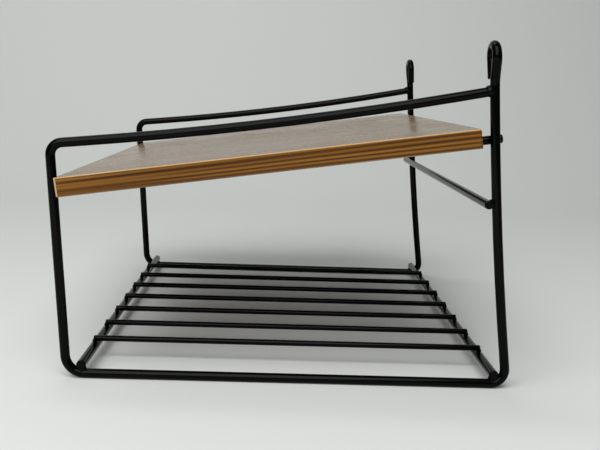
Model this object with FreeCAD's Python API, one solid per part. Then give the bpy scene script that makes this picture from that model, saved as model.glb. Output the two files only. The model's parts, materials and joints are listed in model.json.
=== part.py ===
import FreeCAD, Part
import math
import os
from FreeCAD import Vector

# Wall-hung wire shelf, millimetres. +X is the right-hand side as seen from the room,
# +Y points to the wall, +Z is up. The origin is the middle of the footprint, on the
# plane that the two bottom rails stand on. Below, y starts at the foot of the front
# post and z at the axis of the bottom rail; save() moves every piece to the origin.

# Stock
rodDia = 6.0              # side frames and cross bars
wireDia = 4.0             # shelf wires
braceDia = 5.5            # rear brace and board supports
weldSink = 0.2            # how far a welded rod is pressed into the one it sits on
endRound = 0.8            # rounding of the cut ends of rods
wireEndRound = 1.0        # rounding of the cut ends of wires

# Side frames
frameSpacing = 355.0      # between the planes of the two side frames
frameDepth = 278.5        # foot of the front post to foot of the rear post
frontHeight = 143.6       # height of the bend between front post and top rail
frontLean = 3.86          # degrees that the front posts lean into the room
rearHeight = 187.5        # height at which the eyelet starts
rearLean = 5.9            # degrees that the rear posts lean into the room
rearBow = 1.5             # bow of the rear posts into the room
railRearHeight = 184.3    # height at which the top rail meets the rear post
railSag = 3.2             # sag of the top rail below a straight line
bowShare = 0.85           # share of a bowed run that is curved
frontFootRadius = 12.0    # bend radii, to the axis of the rod
rearFootRadius = 9.0
frontTopRadius = 7.5

# Hanging eyelets, in the plane of the rear posts
eyeRadius = 7.0           # to the axis of the rod
eyeOffset = 1.0           # centre of the eyelet, inwards of the post
eyeNeckLean = 25.0        # degrees that the post turns outwards
eyeNeckRadius = 12.0
eyeLegLean = 8.0          # degrees that the free leg turns back to the post
eyeLegLength = 12.2       # straight part of the free leg

# Lower rack
barTuck = 1.6             # how far the cross bars ride into the foot bends
wireCount = 7
wireMarginLeft = 60.0     # from the plane of the side frame to the first wire
wireMarginRight = 42.0
wireOverhang = 0.9        # past the axis of a cross bar

# Rear brace and board supports
braceHeight = 115.4
braceOverhang = 4.5       # past the plane of the side frame
supportTail = 5.0         # past the axis of the rear post
supportNose = 2.5         # past the axis of the front post
supportDrop = 2.0         # below the middle of the board's thickness

# Board
boardSlope = 8.4          # degrees that the board falls to the front
boardHeight = 122.8       # height of its top on the axis of the front post
boardThickness = 12.0
boardOverhang = 4.5       # past the plane of the side frame
postBite = 1.2            # how far the front posts reach into the front edge, at the top
boardRearGap = 9.4        # rear edge in front of the axis of the rear post, at the top
laminateThickness = 0.6
edgeThickness = 1.0
seatClearance = 0.3       # between the board and the rods that hold it

# Weld beads
railBeadRadius = 3.7
barBeadRadius = 3.0
wireBeadRadius = 1.8
braceBeadRadius = 3.0
supportBeadRadius = 2.2

rodRadius = rodDia / 2
wireRadius = wireDia / 2
braceRadius = braceDia / 2
halfSpacing = frameSpacing / 2
boardFrontGap = rodRadius - postBite


def heading(degrees):
    """Direction in the plane of a side frame that leans from upright into the room."""
    angle = math.radians(degrees)
    return Vector(0, -math.sin(angle), math.cos(angle))


frontUp = heading(frontLean)
boardUp = heading(boardSlope)
boardBack = Vector(0, boardUp.z, -boardUp.y)

frontFoot = Vector(0, 0, 0)
rearFoot = Vector(0, frameDepth, 0)
frontTop = frontUp * (frontHeight / frontUp.z)
rearUp = heading(rearLean)
rearTop = rearFoot + rearUp * (rearHeight / rearUp.z)
rearBulge = (rearFoot + rearTop) / 2 - Vector(0, rearUp.z, -rearUp.y) * (2 * rearBow)


def bowRadius(chord, bow):
    """Radius of a run that bows, short enough to leave room for the bends beside it."""
    return bowShare * chord ** 2 / (8 * bow)


def roundedPath(points, radii):
    """Straight runs through the points, with an arc at each point between the ends."""
    edges = []
    start = points[0]
    for before, corner, after, radius in zip(points, points[1:], points[2:], radii):
        arriving = (corner - before).normalize()
        leaving = (after - corner).normalize()
        halfTurn = arriving.getAngle(leaving) / 2
        reach = radius * math.tan(halfTurn)
        towardsCentre = (leaving - arriving).normalize()
        arcStart = corner - arriving * reach
        arcMiddle = corner + towardsCentre * (radius / math.cos(halfTurn) - radius)
        arcEnd = corner + leaving * reach
        if (arcStart - start).Length > 1e-6:
            edges.append(Part.LineSegment(start, arcStart).toShape())
        edges.append(Part.Arc(arcStart, arcMiddle, arcEnd).toShape())
        start = arcEnd
    edges.append(Part.LineSegment(start, points[-1]).toShape())
    return Part.Wire(edges)


def sweepRod(points, radii, radius):
    """Round rod along a path, with flat ends."""
    path = roundedPath(points, radii)
    along = (points[1] - points[0]).normalize()
    outline = Part.Wire(Part.Circle(points[0], along, radius).toShape())
    return path.makePipeShell([outline], True, False)


def straightRod(start, end, radius, rounding):
    """Straight rod with rounded rims at both ends."""
    rod = Part.makeCylinder(radius, (end - start).Length, start, end - start)
    rims = [edge for edge in rod.Edges if edge.isClosed()]
    return rod.makeFillet(rounding, rims)


def postAxis(height):
    """Point on the axis of the rear post at a height."""
    path = roundedPath([rearFoot, rearBulge, rearTop], [bowRadius((rearTop - rearFoot).Length, rearBow)])
    level = Part.LineSegment(Vector(0, -frameDepth, height), Vector(0, 2 * frameDepth, height)).toShape()
    return path.distToShape(level)[1][0][0]


def eyeletPoints(inward):
    """Corner points of the eyelet above the rear post, ending at the tip of the free leg."""
    up = (rearTop - rearBulge).normalize()
    neck = math.radians(eyeNeckLean)
    leg = math.radians(eyeLegLean)
    # the neck turns outwards on its own bend and meets the eyelet as a tangent
    reachAcross = eyeOffset - eyeRadius / math.cos(neck)
    neckHeight = eyeNeckRadius * math.tan(neck / 2)
    centreHeight = neckHeight - reachAcross / math.tan(neck)
    crown = centreHeight + eyeRadius
    outerCorner = reachAcross - eyeRadius * math.tan(neck)
    legCorner = eyeOffset + eyeRadius * (1 / math.cos(leg) + math.tan(leg))
    legDrop = eyeRadius * math.tan((math.pi / 2 + leg) / 2) + eyeLegLength
    tipAcross = legCorner - legDrop * math.sin(leg)
    tipHeight = crown - legDrop * math.cos(leg)
    return [
        rearTop + up * neckHeight,
        rearTop + inward * outerCorner + up * crown,
        rearTop + inward * legCorner + up * crown,
        rearTop + inward * tipAcross + up * tipHeight,
    ]


def sideFrame(side):
    """Bent rod of one side, whose top rail ends on its own rear post."""
    inward = Vector(-side, 0, 0)
    neck, outer, inner, tip = eyeletPoints(inward)
    rearPost = bowRadius((rearTop - rearFoot).Length, rearBow)
    underside = (frontFoot + rearFoot) / 2
    rearHalf = sweepRod(
        [tip, inner, outer, neck, rearBulge, rearFoot, underside],
        [eyeRadius, eyeRadius, eyeNeckRadius, rearPost, rearFootRadius],
        rodRadius,
    )
    tipRim = min((edge for edge in rearHalf.Edges if edge.isClosed()),
                 key=lambda edge: (edge.CenterOfMass - tip).Length)
    rearHalf = rearHalf.makeFillet(endRound, [tipRim])
    railEnd = postAxis(railRearHeight)
    chord = railEnd - frontTop
    railMiddle = (frontTop + railEnd) / 2 - Vector(0, -chord.z, chord.y).normalize() * (2 * railSag)
    frontHalf = sweepRod(
        [underside, frontFoot, frontTop, railMiddle, railEnd],
        [frontFootRadius, frontTopRadius, bowRadius(chord.Length, railSag)],
        rodRadius,
    )
    frame = rearHalf.fuse(frontHalf).removeSplitter()
    return frame.translated(Vector(side * halfSpacing, 0, 0))


def barCentre(foot, post, radius, towardsPost):
    """Axis of a cross bar that lies on the bottom rail and rides into a foot bend."""
    along = (post - foot).normalize()
    bend = radius * math.tan((math.pi - Vector(0, -towardsPost, 0).getAngle(along)) / 2)
    centreY = foot.y - towardsPost * bend
    orbit = radius - rodDia + weldSink
    tuck = min(barTuck, orbit / 2)
    return Vector(0, centreY + towardsPost * tuck, radius - math.sqrt(orbit ** 2 - tuck ** 2))


def lensBead(point, radius, rods, along=Vector(0, 0, 1), through=Vector(1, 0, 0)):
    """Weld bead round the place where rods touch; its poles and seam can be turned into a rod."""
    bead = Part.makeSphere(radius)
    turn = FreeCAD.Rotation(through, Vector(0, 0, 0), along, "ZXY")
    bead.Placement = FreeCAD.Placement(point, turn)
    return bead.cut(rods)


def save(name, shapes):
    """Move the solids to the part's origin and write them as one node."""
    solids = [solid for shape in shapes for solid in shape.Solids]
    node = solids[0] if len(solids) == 1 else Part.makeCompound(solids)
    node = node.translated(Vector(0, -depthMiddle, rodRadius))
    node.exportStep("parts/" + name + ".step")


os.makedirs("parts", exist_ok=True)

# Side frames and the middle of their depth
leftFrame = sideFrame(-1)
rightFrame = sideFrame(1)
frames = {-1: leftFrame, 1: rightFrame}
depthMiddle = rightFrame.optimalBoundingBox(False).Center.y
save("left_side_frame", [leftFrame])
save("right_side_frame", [rightFrame])

# Cross bars, cut where they are pressed into the side frames
frontBarCentre = barCentre(frontFoot, frontTop, frontFootRadius, -1)
rearBarCentre = barCentre(rearFoot, rearBulge, rearFootRadius, 1)
bars = []
for centre in (frontBarCentre, rearBarCentre):
    end = Vector(halfSpacing + rodRadius, 0, 0)
    bar = straightRod(centre - end, centre + end, rodRadius, endRound)
    bars.append(bar.cut(leftFrame).cut(rightFrame))
save("front_cross_bar", [bars[0]])
save("rear_cross_bar", [bars[1]])

# Shelf wires across the bars
barLine = (rearBarCentre - frontBarCentre).normalize()
barUp = Vector(0, -barLine.z, barLine.y)
wireLift = barUp * (rodRadius + wireRadius - weldSink)
wirePitch = (frameSpacing - wireMarginLeft - wireMarginRight) / (wireCount - 1)
wires = []
for index in range(wireCount):
    across = Vector(-halfSpacing + wireMarginLeft + index * wirePitch, 0, 0)
    start = frontBarCentre + wireLift - barLine * wireOverhang + across
    end = rearBarCentre + wireLift + barLine * wireOverhang + across
    wire = straightRod(start, end, wireRadius, wireEndRound)
    wires.append(wire.cut(bars[0]).cut(bars[1]))
    save("shelf_wire_" + str(index + 1), [wires[-1]])

# Rear brace on the room side of the rear posts
braceOffset = rodRadius + braceRadius - weldSink
postSpot = postAxis(braceHeight)
braceCentre = postSpot - Vector(0, rearUp.z, -rearUp.y) * braceOffset
braceEnd = Vector(halfSpacing + braceOverhang, 0, 0)
brace = straightRod(braceCentre - braceEnd, braceCentre + braceEnd, braceRadius, endRound)
brace = brace.cut(leftFrame).cut(rightFrame)
save("rear_brace", [brace])

# Board, drawn as slices of one slab that lies along its slope
boardCorner = frontUp * (boardHeight / frontUp.z) + boardBack * boardFrontGap
rearMeeting = postAxis(boardHeight + frameDepth * math.tan(math.radians(boardSlope)))
boardLength = (rearMeeting - boardCorner).dot(boardBack) - boardRearGap
boardWidth = frameSpacing + 2 * boardOverhang
coreThickness = boardThickness - 2 * laminateThickness


def boardSlice(front, back, left, right, top, bottom):
    """Block of the board: distances from the front, left and top of the slab."""
    block = Part.makeBox(right - left, back - front, bottom - top)
    turned = block.rotated(Vector(0, 0, 0), Vector(1, 0, 0), boardSlope)
    corner = boardCorner + boardBack * front - boardUp * bottom
    return turned.translated(corner + Vector(left - boardWidth / 2, 0, 0))


# Board supports beside the posts, and the room that the board leaves for the rods
supportX = halfSpacing - rodRadius - braceRadius + weldSink
supportLevel = boardCorner - boardUp * (boardThickness / 2 + supportDrop)
supportFront = supportLevel - boardBack * (boardFrontGap + supportNose)
supportRear = supportLevel + boardBack * (boardLength + boardRearGap)
supportLength = (supportRear - supportFront).Length + supportTail
supports = {}
channels = []
for side in (-1, 1):
    start = supportFront + Vector(side * supportX, 0, 0)
    support = straightRod(start, start + boardBack * supportLength, braceRadius, endRound)
    supports[side] = support.cut(frames[side])
    notch = Part.makeCylinder(rodRadius + seatClearance, 2 * frontHeight,
                              Vector(side * halfSpacing, 0, 0), frontUp)
    grooveTop = boardThickness / 2 + supportDrop - braceRadius - seatClearance
    grooveHalf = braceRadius + seatClearance
    middle = side * supportX + boardWidth / 2
    groove = boardSlice(-1, boardLength + 1, middle - grooveHalf, middle + grooveHalf,
                        grooveTop, boardThickness + 1)
    channels += [notch, groove]
save("left_board_support", [supports[-1]])
save("right_board_support", [supports[1]])


def boardPiece(name, *limits):
    """One layer of the board with the notches and grooves cut through it."""
    piece = boardSlice(*limits)
    for channel in channels:
        piece = piece.cut(channel)
    save(name, [piece])


coreTop = laminateThickness
coreBottom = boardThickness - laminateThickness
innerLength = boardLength - edgeThickness
innerWidth = boardWidth - edgeThickness
boardPiece("board_core", edgeThickness, innerLength, edgeThickness, innerWidth, coreTop, coreBottom)
boardPiece("board_front_edging", 0, edgeThickness, 0, boardWidth, coreTop, coreBottom)
boardPiece("board_rear_edging", innerLength, boardLength, 0, boardWidth, coreTop, coreBottom)
boardPiece("board_left_edging", edgeThickness, innerLength, 0, edgeThickness, coreTop, coreBottom)
boardPiece("board_right_edging", edgeThickness, innerLength, innerWidth, boardWidth,
           coreTop, coreBottom)
boardPiece("board_top_laminate", 0, boardLength, 0, boardWidth, 0, coreTop)
boardPiece("board_bottom_laminate", 0, boardLength, 0, boardWidth, coreBottom, boardThickness)

# Weld beads
railBeads = {}
barBeads = []
braceBeads = []
supportBeads = []
for side in (-1, 1):
    across = Vector(side * halfSpacing, 0, 0)
    railSpot = postAxis(railRearHeight) - Vector(0, rearUp.z, -rearUp.y) * rodRadius
    railBeads[side] = lensBead(railSpot + across, railBeadRadius, [frames[side]])
    for centre, bar in zip((frontBarCentre, rearBarCentre), bars):
        spot = centre + across - Vector(0, 0, rodRadius)
        barBeads.append(lensBead(spot, barBeadRadius, [frames[side], bar]))
    braceSpot = postSpot - Vector(0, rearUp.z, -rearUp.y) * rodRadius + across
    braceBeads.append(lensBead(braceSpot, braceBeadRadius, [frames[side], brace]))
    for spot in (supportFront + boardBack * supportBeadRadius / 2, supportRear):
        bead = spot + Vector(side * (supportX + braceRadius), 0, 0)
        supportBeads.append(lensBead(bead, supportBeadRadius, [frames[side], supports[side]]))
wireBeads = []
for wire in wires:
    across = Vector(wire.BoundBox.Center.x, 0, 0)
    for centre, bar in zip((frontBarCentre, rearBarCentre), bars):
        spot = centre + across + barUp * rodRadius
        wireBeads.append(lensBead(spot, wireBeadRadius, [wire, bar], barLine, barUp))
save("left_top_rail_weld", [railBeads[-1]])
save("right_top_rail_weld", [railBeads[1]])
save("cross_bar_welds", barBeads)
save("brace_welds", braceBeads)
save("board_support_welds", supportBeads)
save("shelf_wire_welds", wireBeads)
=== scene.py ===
import json
import math

import bpy
import bmesh
from mathutils import Matrix, Vector


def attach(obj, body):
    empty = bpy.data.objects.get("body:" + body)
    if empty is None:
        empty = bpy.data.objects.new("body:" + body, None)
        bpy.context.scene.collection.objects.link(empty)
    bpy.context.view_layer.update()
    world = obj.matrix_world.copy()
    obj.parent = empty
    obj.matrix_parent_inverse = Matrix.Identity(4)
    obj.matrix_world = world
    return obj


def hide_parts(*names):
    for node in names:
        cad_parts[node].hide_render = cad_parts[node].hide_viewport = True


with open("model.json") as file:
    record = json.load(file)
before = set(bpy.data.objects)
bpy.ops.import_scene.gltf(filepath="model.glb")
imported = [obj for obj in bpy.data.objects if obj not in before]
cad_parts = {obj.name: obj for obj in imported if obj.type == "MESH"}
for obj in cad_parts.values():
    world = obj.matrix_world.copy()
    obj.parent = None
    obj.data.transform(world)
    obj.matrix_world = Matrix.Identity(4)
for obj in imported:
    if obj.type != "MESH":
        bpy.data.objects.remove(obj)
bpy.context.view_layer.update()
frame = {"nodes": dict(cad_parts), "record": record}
print("frame loaded:", len(frame["nodes"]), "nodes")


# small helpers for node trees

def makeNode(tree, kind, inputs=None, **settings):
    node = tree.nodes.new(kind)
    for name, value in settings.items():
        setattr(node, name, value)
    for name, value in (inputs or {}).items():
        node.inputs[name].default_value = value
    return node


def join(tree, source, target):
    tree.links.new(source, target)


def makeRamp(tree, factor, stops):
    ramp = makeNode(tree, "ShaderNodeValToRGB")
    elements = ramp.color_ramp.elements
    while len(elements) < len(stops):
        elements.new(0.5)
    for element, (place, colour) in zip(elements, stops):
        element.position = place
        element.color = (*colour, 1)
    join(tree, factor, ramp.inputs["Fac"])
    return ramp.outputs["Color"]


def makeRange(tree, value, fromLow, fromHigh, toLow, toHigh):
    node = makeNode(tree, "ShaderNodeMapRange", {
        "From Min": fromLow, "From Max": fromHigh, "To Min": toLow, "To Max": toHigh})
    join(tree, value, node.inputs["Value"])
    return node.outputs["Result"]


def mixColour(tree, factor, first, second):
    node = makeNode(tree, "ShaderNodeMix", data_type="RGBA")
    for socket, value in ((node.inputs[0], factor), (node.inputs[6], first), (node.inputs[7], second)):
        if isinstance(value, bpy.types.NodeSocket):
            join(tree, value, socket)
        else:
            socket.default_value = value
    return node.outputs[2]


def calculate(tree, operation, first, second):
    node = makeNode(tree, "ShaderNodeMath", operation=operation)
    for socket, value in zip(node.inputs, (first, second)):
        if isinstance(value, bpy.types.NodeSocket):
            join(tree, value, socket)
        else:
            socket.default_value = value
    return node.outputs[0]


def makeMapping(tree, vector, **settings):
    node = makeNode(tree, "ShaderNodeMapping", settings)
    join(tree, vector, node.inputs["Vector"])
    return node.outputs["Vector"]


def takePart(tree, vector, axis):
    parts = makeNode(tree, "ShaderNodeSeparateXYZ")
    join(tree, vector, parts.inputs["Vector"])
    return parts.outputs[axis]


def makeGroup(name, inputs, outputs):
    tree = bpy.data.node_groups.new(name, "ShaderNodeTree")
    for socketName, kind in inputs:
        tree.interface.new_socket(socketName, in_out="INPUT", socket_type=kind)
    for socketName, kind in outputs:
        tree.interface.new_socket(socketName, in_out="OUTPUT", socket_type=kind)
    start = tree.nodes.new("NodeGroupInput")
    end = tree.nodes.new("NodeGroupOutput")
    return tree, start.outputs, end.inputs


# fine dust and faint handling marks, for every finish

smudgeRange = (0.35, 0.7)       # noise values from no smudge to a full one
speckRange = (0.05, 0.12)       # distances from a speck's middle to clear of it


def makeSurfaceWear():
    tree, start, end = makeGroup("surfaceWear", [
        ("Place", "NodeSocketVector"),
        ("Smudge scale", "NodeSocketFloat"),
        ("Speck scale", "NodeSocketFloat"),
    ], [("Smudge", "NodeSocketFloat"), ("Speck", "NodeSocketFloat")])
    smudge = makeNode(tree, "ShaderNodeTexNoise", {"Detail": 4.0, "Roughness": 0.6, "Distortion": 0.6})
    join(tree, start["Place"], smudge.inputs["Vector"])
    join(tree, start["Smudge scale"], smudge.inputs["Scale"])
    join(tree, makeRange(tree, smudge.outputs["Fac"], *smudgeRange, 0.0, 1.0), end["Smudge"])
    speck = makeNode(tree, "ShaderNodeTexVoronoi", feature="F1")
    join(tree, start["Place"], speck.inputs["Vector"])
    join(tree, start["Speck scale"], speck.inputs["Scale"])
    join(tree, makeRange(tree, speck.outputs["Distance"], *speckRange, 1.0, 0.0), end["Speck"])
    return tree


surfaceWear = makeSurfaceWear()


def startMaterial(name):
    material = bpy.data.materials.new(name)
    material.use_nodes = True
    tree = material.node_tree
    shader = tree.nodes["Principled BSDF"]
    place = makeNode(tree, "ShaderNodeTexCoord").outputs["Object"]
    return material, tree, shader, place


def addWear(tree, place, smudgeScale, speckScale):
    wear = makeNode(tree, "ShaderNodeGroup", node_tree=surfaceWear)
    join(tree, place, wear.inputs["Place"])
    wear.inputs["Smudge scale"].default_value = smudgeScale
    wear.inputs["Speck scale"].default_value = speckScale
    return wear.outputs["Smudge"], wear.outputs["Speck"]


def addBump(tree, shader, height, strength, distance):
    bump = makeNode(tree, "ShaderNodeBump", {"Strength": strength, "Distance": distance})
    join(tree, height, bump.inputs["Height"])
    join(tree, bump.outputs["Normal"], shader.inputs["Normal"])


# black lacquer on the rods

lacquer = {
    "dark": (0.0005, 0.0005, 0.0006),
    "worn": (0.0014, 0.0014, 0.0014),
    "dust": (0.05, 0.05, 0.048),
    "dustShare": 0.16,
    "wearScales": (34.0, 620.0),       # smudges, specks
    "roughness": (0.08, 0.17),
    "shine": 0.08,
    "peelScale": 380.0,
    "peelStrength": 0.25,
    "peelDepth": 0.00003,
}


def makeLacquer():
    material, tree, shader, place = startMaterial("blackLacquer")
    smudge, speck = addWear(tree, place, *lacquer["wearScales"])
    base = mixColour(tree, smudge, (*lacquer["dark"], 1), (*lacquer["worn"], 1))
    dusty = calculate(tree, "MULTIPLY", speck, lacquer["dustShare"])
    join(tree, mixColour(tree, dusty, base, (*lacquer["dust"], 1)), shader.inputs["Base Color"])
    join(tree, makeRange(tree, smudge, 0.0, 1.0, *lacquer["roughness"]), shader.inputs["Roughness"])
    shader.inputs["Specular IOR Level"].default_value = lacquer["shine"]
    peel = makeNode(tree, "ShaderNodeTexNoise", {"Scale": lacquer["peelScale"], "Detail": 2.0})
    join(tree, place, peel.inputs["Vector"])
    addBump(tree, shader, peel.outputs["Fac"], lacquer["peelStrength"], lacquer["peelDepth"])
    return material


# wood finishes; the grain runs along the board's depth

boardSlope = 8.4        # degrees that the board falls to the front
grainTurn = (math.radians(-boardSlope), 0, 0)


def placeGrain(tree, place, stretch):
    flat = makeMapping(tree, place, Rotation=grainTurn)
    return flat, makeMapping(tree, flat, Scale=stretch)


# how much a face of the board looks up, square to the board
def findUpFaces(tree):
    normal = makeNode(tree, "ShaderNodeTexCoord").outputs["Normal"]
    turn = makeNode(tree, "ShaderNodeMapping", {"Rotation": grainTurn}, vector_type="NORMAL")
    join(tree, normal, turn.inputs["Vector"])
    return takePart(tree, turn.outputs["Vector"], "Z")


# how much a face of the board looks to the left or right
def findEndFaces(tree):
    normal = makeNode(tree, "ShaderNodeTexCoord").outputs["Normal"]
    return calculate(tree, "ABSOLUTE", takePart(tree, normal, "X"), 0.0)


decor = {
    "stops": ((0.0, (0.055, 0.027, 0.012)), (0.25, (0.130, 0.076, 0.040)),
              (0.55, (0.240, 0.155, 0.086)), (1.0, (0.330, 0.228, 0.135))),
    # pale amber on the laminate's edges: partly the core's own colour, partly a painted highlight where
    # the eased edge catches the light
    "side": (0.60, 0.37, 0.16),
    "sideTurn": (0.35, 0.75),           # how much a face looks up, from all pale edge colour and painted highlight to none
    "broadStretch": (1.0, 0.16, 1.0),
    "broadScale": 24.0,
    "broadShare": 0.5,
    "heart": (0.02, -0.30, 0.05),       # middle of the arcs, ahead of the board
    "tilt": (math.radians(7), 0, math.radians(3)),
    "arcStretch": (0.45, 0.25, 1.0),
    "arcs": 300.0,
    "arcDistortion": 48.0,
    "arcDriftScale": 0.12,
    "pore": (0.050, 0.026, 0.014),
    "poreStretch": (1.0, 0.05, 1.0),
    "poreScale": 900.0,
    "poreRange": (0.52, 0.70),          # noise values from no pore to a full one
    "poreShare": 0.55,
    "poreStrength": 0.3,
    "poreDepth": 0.00003,
    "dust": (0.5, 0.48, 0.45),
    "dustShare": 0.10,
    "wearScales": (22.0, 500.0),        # smudges, specks
    "roughness": (0.20, 0.32),
    "shine": 0.42,
}


def drawArcs(tree, flat):
    centred = makeMapping(tree, flat, Location=[-value for value in decor["heart"]],
                          Rotation=decor["tilt"])
    arcs = makeNode(tree, "ShaderNodeTexWave", {
        "Scale": decor["arcs"], "Distortion": decor["arcDistortion"], "Detail": 2.0,
        "Detail Scale": decor["arcDriftScale"], "Detail Roughness": 0.3},
        wave_type="RINGS", rings_direction="Z", wave_profile="SAW")
    join(tree, makeMapping(tree, centred, Scale=decor["arcStretch"]), arcs.inputs["Vector"])
    return arcs.outputs["Fac"]


def drawPores(tree, flat):
    pores = makeNode(tree, "ShaderNodeTexNoise", {
        "Scale": decor["poreScale"], "Detail": 2.0, "Roughness": 0.7})
    join(tree, makeMapping(tree, flat, Scale=decor["poreStretch"]), pores.inputs["Vector"])
    return makeRange(tree, pores.outputs["Fac"], *decor["poreRange"], 0.0, decor["poreShare"])


def makeDecor():
    material, tree, shader, place = startMaterial("walnutDecor")
    flat, grain = placeGrain(tree, place, decor["broadStretch"])
    broad = makeNode(tree, "ShaderNodeTexNoise", {
        "Scale": decor["broadScale"], "Detail": 3.0, "Distortion": 0.4})
    join(tree, grain, broad.inputs["Vector"])
    tone = mixColour(tree, decor["broadShare"], drawArcs(tree, flat), broad.outputs["Fac"])
    colour = makeRamp(tree, tone, decor["stops"])
    poreMask = drawPores(tree, flat)
    colour = mixColour(tree, poreMask, colour, (*decor["pore"], 1))
    smudge, speck = addWear(tree, place, *decor["wearScales"])
    dusty = calculate(tree, "MULTIPLY", speck, decor["dustShare"])
    colour = mixColour(tree, dusty, colour, (*decor["dust"], 1))
    # faces that don't look up get the pale amber, partly core colour and partly painted highlight
    side = makeRange(tree, findUpFaces(tree), *decor["sideTurn"], 1.0, 0.0)
    colour = mixColour(tree, side, colour, (*decor["side"], 1))
    join(tree, colour, shader.inputs["Base Color"])
    join(tree, makeRange(tree, smudge, 0.0, 1.0, *decor["roughness"]), shader.inputs["Roughness"])
    shader.inputs["Specular IOR Level"].default_value = decor["shine"]
    addBump(tree, shader, poreMask, decor["poreStrength"], decor["poreDepth"])
    return material


# what the striped woods share
striped = {
    "stripeRange": (0.3, 0.7),          # noise values from the first colour to the last
    "fibreRange": (0.45, 0.7),
    "fibreShare": 0.4,
    "fibreStrength": 0.35,
    "topEdgeHighlightTurn": (0.25, 0.6),             # how much a face looks up, from no painted highlight to the most
    "topEdgeHighlightShare": 0.8,
    "endGrainAndHighlightTurn": (0.3, 0.6),              # the same for faces to the left or right, for the pale ends: end grain and painted highlight
    "endGrainAndHighlightShare": 0.9,
    "wearScales": (26.0, 600.0),        # smudges, specks
    "smudgeShare": 0.18,
    "dust": (0.42, 0.38, 0.33),
    "dustShare": 0.10,
}


# even bands, which grow stronger among the loose stripes towards the rear
def addBands(tree, flat, tone, settings):
    bands = makeNode(tree, "ShaderNodeTexWave", {
        "Scale": settings["bands"], "Distortion": 4.5, "Detail": 1.0, "Detail Scale": 0.6},
        wave_type="BANDS", bands_direction="Z", wave_profile="SIN")
    join(tree, makeMapping(tree, flat, Scale=settings["drift"]), bands.inputs["Vector"])
    share = makeRange(tree, takePart(tree, flat, "Y"), *settings["bandShare"])
    return mixColour(tree, share, tone, bands.outputs["Fac"])


def makeStripedWood(name, settings):
    material, tree, shader, place = startMaterial(name)
    flat, grain = placeGrain(tree, place, settings["stretch"])
    stripes = makeNode(tree, "ShaderNodeTexNoise", {
        "Scale": settings["stripes"], "Detail": 3.0, "Roughness": 0.5, "Distortion": 0.2})
    join(tree, grain, stripes.inputs["Vector"])
    tone = makeRange(tree, stripes.outputs["Fac"], *striped["stripeRange"], 0.0, 1.0)
    if "bands" in settings:
        tone = addBands(tree, flat, tone, settings)
    colour = makeRamp(tree, tone, settings["stops"])
    fibre = makeNode(tree, "ShaderNodeTexNoise", {"Scale": settings["fibres"], "Detail": 3.0})
    join(tree, grain, fibre.inputs["Vector"])
    fibreMask = makeRange(tree, fibre.outputs["Fac"], *striped["fibreRange"], 0.0, striped["fibreShare"])
    colour = mixColour(tree, fibreMask, colour, (*settings["fibreTint"], 1))
    # painted highlight: faces that look up, on the eased top edge, get a bright orange line
    if "topEdgeHighlight" in settings:
        topEdgeHighlight = makeRange(tree, findUpFaces(tree), *striped["topEdgeHighlightTurn"], 0.0, striped["topEdgeHighlightShare"])
        colour = mixColour(tree, topEdgeHighlight, colour, (*settings["topEdgeHighlight"], 1))
    # pale ends of the cross strip: partly the end grain's own colour, partly a painted highlight along
    # the front end
    if "end" in settings:
        end = makeRange(tree, findEndFaces(tree), *striped["endGrainAndHighlightTurn"], 0.0, striped["endGrainAndHighlightShare"])
        colour = mixColour(tree, end, colour, (*settings["end"], 1))
    smudge, speck = addWear(tree, place, *striped["wearScales"])
    handled = calculate(tree, "MULTIPLY", smudge, striped["smudgeShare"])
    colour = mixColour(tree, handled, colour, (*settings["fibreTint"], 1))
    dusty = calculate(tree, "MULTIPLY", speck, striped["dustShare"])
    colour = mixColour(tree, dusty, colour, (*striped["dust"], 1))
    join(tree, colour, shader.inputs["Base Color"])
    join(tree, makeRange(tree, smudge, 0.0, 1.0, *settings["roughness"]), shader.inputs["Roughness"])
    shader.inputs["Specular IOR Level"].default_value = settings["shine"]
    addBump(tree, shader, fibreMask, striped["fibreStrength"], settings["fibreDepth"])
    return material


edging = {
    "stops": ((0.14, (0.032, 0.011, 0.002)), (0.38, (0.080, 0.030, 0.005)),
              (0.60, (0.172, 0.071, 0.011)), (0.90, (0.245, 0.108, 0.018))),
    "stretch": (1.0, 0.006, 1.0),
    "stripes": 560.0,
    "bands": 112.0,
    "drift": (1.0, 0.07, 1.0),
    "bandShare": (-0.12, 0.10, 0.08, 0.55),     # from and to along the depth, least and most
    "fibres": 1500.0,
    "fibreTint": (0.11, 0.042, 0.009),
    # colour of the painted highlight along the top edge
    "topEdgeHighlight": (0.66, 0.36, 0.12),
    "roughness": (0.36, 0.5),
    "shine": 0.12,
    "fibreDepth": 0.00005,
}
# the strips at the front and rear run across the board
crossEdging = {**edging, "stretch": (0.006, 1.0, 1.0), "drift": (0.07, 1.0, 1.0)}
# the front strip's ends are paler, partly end grain and partly painted highlight
frontEdging = {**crossEdging, "end": (0.52, 0.36, 0.20)}

backing = {
    "stops": ((0.0, (0.10, 0.06, 0.035)), (0.5, (0.17, 0.10, 0.06)),
              (0.8, (0.21, 0.13, 0.08)), (1.0, (0.25, 0.16, 0.10))),
    "stretch": (1.0, 0.06, 1.0),
    "stripes": 90.0,
    "fibres": 700.0,
    "fibreTint": (0.08, 0.045, 0.025),
    "roughness": (0.5, 0.65),
    "shine": 0.35,
    "fibreDepth": 0.00004,
}

chipboard = {
    "stops": ((0.0, (0.22, 0.14, 0.07)), (0.4, (0.38, 0.26, 0.14)),
              (0.7, (0.50, 0.37, 0.22)), (1.0, (0.60, 0.47, 0.30))),
    "stretch": (1.0, 0.6, 1.0),
    "stripes": 420.0,
    "fibres": 1200.0,
    "fibreTint": (0.20, 0.12, 0.06),
    "roughness": (0.75, 0.9),
    "shine": 0.25,
    "fibreDepth": 0.00025,
}

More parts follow.
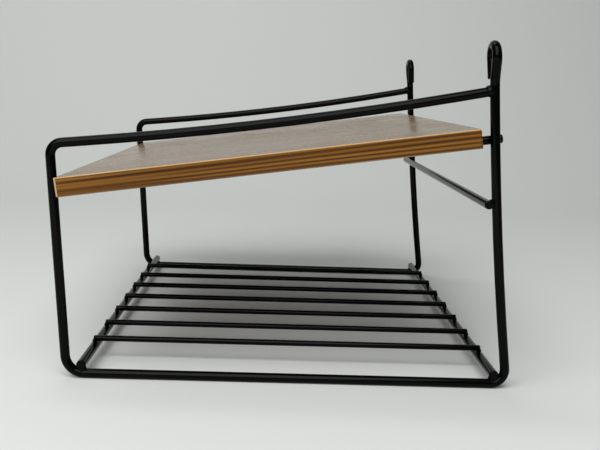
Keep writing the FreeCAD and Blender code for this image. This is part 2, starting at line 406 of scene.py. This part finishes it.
finishes = {
    "black_lacquer": makeLacquer(),
    "decor_laminate": makeDecor(),
    "wood_edging": makeStripedWood("stripedEdging", edging),
    "front_edging": makeStripedWood("frontEdging", frontEdging),
    "rear_edging": makeStripedWood("rearEdging", crossEdging),
    "backing_laminate": makeStripedWood("backingLaminate", backing),
    "chipboard": makeStripedWood("rawChipboard", chipboard),
}
ownFinish = {"board_front_edging": "front_edging", "board_rear_edging": "rear_edging"}
slotOf = {entry["node"]: entry["material_slot"] for entry in frame["record"]["subparts"]}
for name, node in frame["nodes"].items():
    for index in range(len(node.material_slots)):
        node.material_slots[index].material = finishes[ownFinish.get(name, slotOf[name])]
print("finishes made:", len(finishes))


# the board's layers, as merged copies whose corners are eased

boardLayers = {
    "board_top_laminate": 0.00012,
    "board_bottom_laminate": 0.00012,
    "board_rear_edging": 0.00022,
    "board_left_edging": 0.00022,
    "board_right_edging": 0.00022,
}
sameSpot = 0.000002
flatTurn = math.radians(1)
sharpTurn = math.radians(40)


def easeLayer(name, corner):
    shape = bmesh.new()
    shape.from_mesh(frame["nodes"][name].data)
    bmesh.ops.remove_doubles(shape, verts=shape.verts, dist=sameSpot)
    bmesh.ops.dissolve_limit(shape, angle_limit=flatTurn, verts=shape.verts, edges=shape.edges)
    sharp = [edge for edge in shape.edges
             if edge.is_manifold and abs(edge.calc_face_angle_signed()) > sharpTurn]
    bmesh.ops.bevel(shape, geom=sharp, offset=corner, offset_type="OFFSET", segments=2,
                    profile=0.5, affect="EDGES", material=-1, clamp_overlap=True)
    # faces that go round a notch or groove are cut up, so that none spans it
    bmesh.ops.triangulate(shape, faces=[face for face in shape.faces if len(face.verts) > 4])
    mesh = bpy.data.meshes.new("eased_" + name)
    shape.to_mesh(mesh)
    shape.free()
    mesh.materials.append(finishes[ownFinish.get(name, slotOf[name])])
    layer = bpy.data.objects.new("eased_" + name, mesh)
    bpy.context.scene.collection.objects.link(layer)
    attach(layer, "board")
    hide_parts(name)


for name, corner in boardLayers.items():
    easeLayer(name, corner)
print("board layers eased:", len(boardLayers))


# floor, light and camera

studio = {
    "floorColour": (0.705, 0.725, 0.705),
    "floorRoughness": 0.85,
    "floorShine": 0.08,
    "wallPlace": -1.6,
    "wallTop": 3.5,
    "curve": 0.9,           # radius between floor and wall
    "curveSteps": 24,
    "halfWidth": 4.0,
    "front": 3.0,
}


def drawBackdropLine():
    curveStart = studio["wallPlace"] + studio["curve"]
    line = [Vector((studio["front"], 0, 0)), Vector((curveStart, 0, 0))]
    for step in range(1, studio["curveSteps"] + 1):
        angle = math.pi / 2 * step / studio["curveSteps"]
        line.append(Vector((studio["wallPlace"] + studio["curve"] * (1 - math.sin(angle)), 0,
                            studio["curve"] * (1 - math.cos(angle)))))
    line.append(Vector((studio["wallPlace"], 0, studio["wallTop"])))
    return line


def makeBackdrop():
    shape = bmesh.new()
    verts = [shape.verts.new(point - Vector((0, studio["halfWidth"], 0))) for point in drawBackdropLine()]
    edges = [shape.edges.new(pair) for pair in zip(verts, verts[1:])]
    made = bmesh.ops.extrude_edge_only(shape, edges=edges)["geom"]
    moved = [item for item in made if isinstance(item, bmesh.types.BMVert)]
    bmesh.ops.translate(shape, verts=moved, vec=(0, 2 * studio["halfWidth"], 0))
    bmesh.ops.recalc_face_normals(shape, faces=shape.faces)
    mesh = bpy.data.meshes.new("backdrop")
    shape.to_mesh(mesh)
    shape.free()
    for polygon in mesh.polygons:
        polygon.use_smooth = True
    backdrop = bpy.data.objects.new("backdrop", mesh)
    bpy.context.scene.collection.objects.link(backdrop)
    material = bpy.data.materials.new("paleBackdrop")
    material.use_nodes = True
    shader = material.node_tree.nodes["Principled BSDF"]
    shader.inputs["Base Color"].default_value = (*studio["floorColour"], 1)
    shader.inputs["Roughness"].default_value = studio["floorRoughness"]
    shader.inputs["Specular IOR Level"].default_value = studio["floorShine"]
    mesh.materials.append(material)


makeBackdrop()

lamps = {
    "overheadSoftbox": {"place": (1.05, -0.28, 1.05), "aim": (0.12, 0, 0.0), "size": (1.3, 1.6),
                        "power": 26},
    "backdropWash": {"place": (-0.6, -0.6, 2.3), "aim": (-1.6, -0.3, 1.5), "size": (1.4, 0.8),
                     "power": 19},
}
worldColour = (0.86, 0.89, 0.90)
worldStrength = 0.11


def makeLamp(name, settings):
    light = bpy.data.lights.new(name, "AREA")
    light.shape = "RECTANGLE"
    light.size, light.size_y = settings["size"]
    light.energy = settings["power"]
    lamp = bpy.data.objects.new(name, light)
    bpy.context.scene.collection.objects.link(lamp)
    lamp.location = settings["place"]
    beam = Vector(settings["aim"]) - Vector(settings["place"])
    lamp.rotation_euler = beam.to_track_quat("-Z", "Y").to_euler()


for name, settings in lamps.items():
    makeLamp(name, settings)

world = bpy.data.worlds.new("studioWorld")
bpy.context.scene.world = world
world.use_nodes = True
world.node_tree.nodes["Background"].inputs["Color"].default_value = (*worldColour, 1)
world.node_tree.nodes["Background"].inputs["Strength"].default_value = worldStrength

view = {
    "place": (0.727046, -0.006414, 0.183666),
    "right": (0.0241981, 0.9991081, 0.0346057),
    "down": (0.1490197, 0.0306243, -0.9883599),
    "forward": (-0.9885381, 0.0290734, -0.1481457),
    "lens": 54.0,
    "sensor": 36.0,
}


def makeCamera():
    data = bpy.data.cameras.new("viewCamera")
    data.lens = view["lens"]
    data.sensor_width = view["sensor"]
    data.sensor_fit = "HORIZONTAL"
    data.clip_start = 0.01
    camera = bpy.data.objects.new("viewCamera", data)
    bpy.context.scene.collection.objects.link(camera)
    up, back = [[-value for value in view[name]] for name in ("down", "forward")]
    turn = Matrix((view["right"], up, back)).transposed()
    camera.matrix_world = Matrix.Translation(view["place"]) @ turn.to_4x4()
    bpy.context.scene.camera = camera


makeCamera()
bpy.context.scene.view_settings.view_transform = "Standard"
print("studio set")
